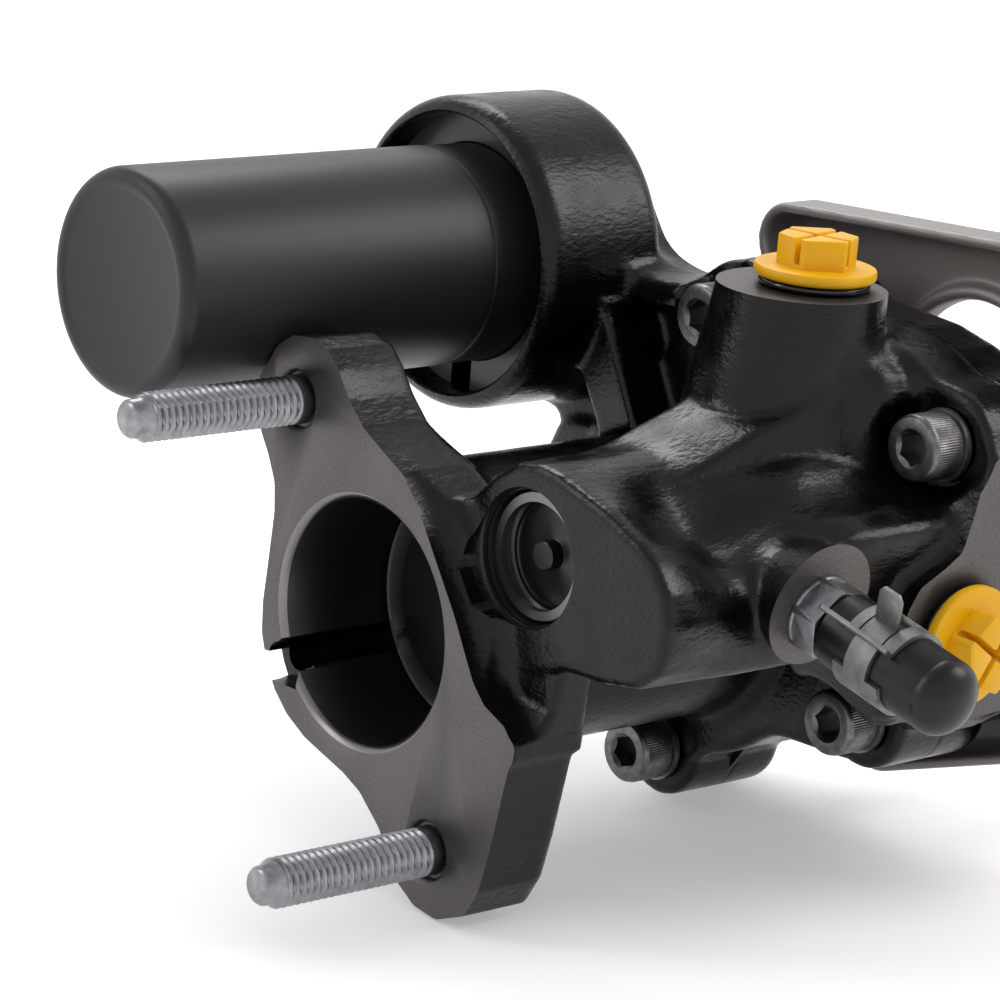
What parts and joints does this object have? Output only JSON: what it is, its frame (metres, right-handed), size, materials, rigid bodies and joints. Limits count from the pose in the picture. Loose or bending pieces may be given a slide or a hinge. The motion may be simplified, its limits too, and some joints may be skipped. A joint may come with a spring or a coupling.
{
  "type": "brake booster",
  "caption": "Hydraulic brake booster: black cast housing with master cylinder flange, side valve body, pressure canister, plugged ports, steel firewall bracket and input rod.",
  "frame": {"origin": "centre of the pilot bore in the plane of the machined flange face, midway between the two master cylinder studs", "axes": "+X along the main bore from the master cylinder face to the pedal side, +Z the way the top port points, -Y the way the side port points"},
  "size_m": [0.2389, 0.1982, 0.1389],
  "materials": {
    "cast_black": "glossy black coat on rough casting",
    "bracket_steel": "drawn sheet, satin",
    "zinc": "zinc plated, satin",
    "screw_steel": "plated, satin",
    "canister_paint": "satin dark",
    "rubber": "matte",
    "yellow_plastic": "moulded, semi gloss",
    "bright_steel": "ground"
  },
  "bodies": {
    "housing": {"housing": "cast_black", "rear_cover": "cast_black", "cover_gasket": "rubber", "bracket": "bracket_steel", "bracket_nut": "zinc", "bracket_stud_1": "zinc", "bracket_stud_2": "zinc", "bracket_stud_3": "zinc", "bracket_stud_4": "zinc", "flange_stud_upper": "zinc", "flange_stud_lower": "zinc", "cap_screw_1": "screw_steel", "cap_screw_2": "screw_steel", "cap_screw_3": "screw_steel", "cap_screw_4": "screw_steel", "cap_screw_5": "screw_steel", "washer_1": "screw_steel", "washer_2": "screw_steel", "washer_3": "screw_steel", "washer_4": "screw_steel", "washer_5": "screw_steel", "canister": "canister_paint", "canister_clip": "bright_steel", "canister_spring": "bright_steel", "top_plug": "yellow_plastic", "top_plug_seal": "rubber", "side_plug": "yellow_plastic", "side_plug_seal": "rubber", "nipple": "zinc", "nipple_cap": "rubber", "cap_clamp": "zinc", "valve_plug": "cast_black", "valve_plug_clip": "bright_steel", "valve_liner": "bright_steel", "valve_spring": "bright_steel", "return_spring": "bright_steel", "spring_retainer": "zinc", "input_seal": "rubber"},
    "power_piston": {"power_piston": "bright_steel", "piston_seal": "rubber", "output_rod": "zinc", "lever_pin": "bright_steel"},
    "lever": {"lever": "bright_steel"},
    "input_rod": {"input_rod": "zinc"},
    "valve_spool": {"valve_spool": "bright_steel"},
    "canister_piston": {"canister_piston": "bright_steel", "canister_seal": "rubber"}
  },
  "joints": [
    {"name": "piston_slide", "type": "slide", "parent": "housing", "child": "power_piston", "axis": [-1, 0, 0], "range_m": [0, 0.03], "stiffness_N_per_m": 600, "springref_m": -0.01, "deforming": ["return_spring"]},
    {"name": "rod_play", "type": "slide", "parent": "power_piston", "child": "input_rod", "axis": [-1, 0, 0], "range_m": [0, 0.001]},
    {"name": "lever_swing", "type": "hinge", "parent": "power_piston", "child": "lever", "pos_m": [0.0962, -0.00943, 0.00566], "axis": [0, 0.5145, 0.8575], "range_deg": [0, 5.8]},
    {"name": "valve_slide", "type": "slide", "parent": "housing", "child": "valve_spool", "axis": [1, 0, 0], "range_m": [0, 0.003], "deforming": ["valve_spring"]},
    {"name": "canister_slide", "type": "slide", "parent": "housing", "child": "canister_piston", "axis": [-1, 0, 0], "range_m": [0, 0.024], "stiffness_N_per_m": 2000, "springref_m": -0.01, "deforming": ["canister_spring"]}
  ],
  "couplings": [
    {"joint": "lever_swing", "follows": "rod_play", "rad_per_m": 100},
    {"joint": "valve_slide", "follows": "rod_play", "ratio": 2.982}
  ]
}
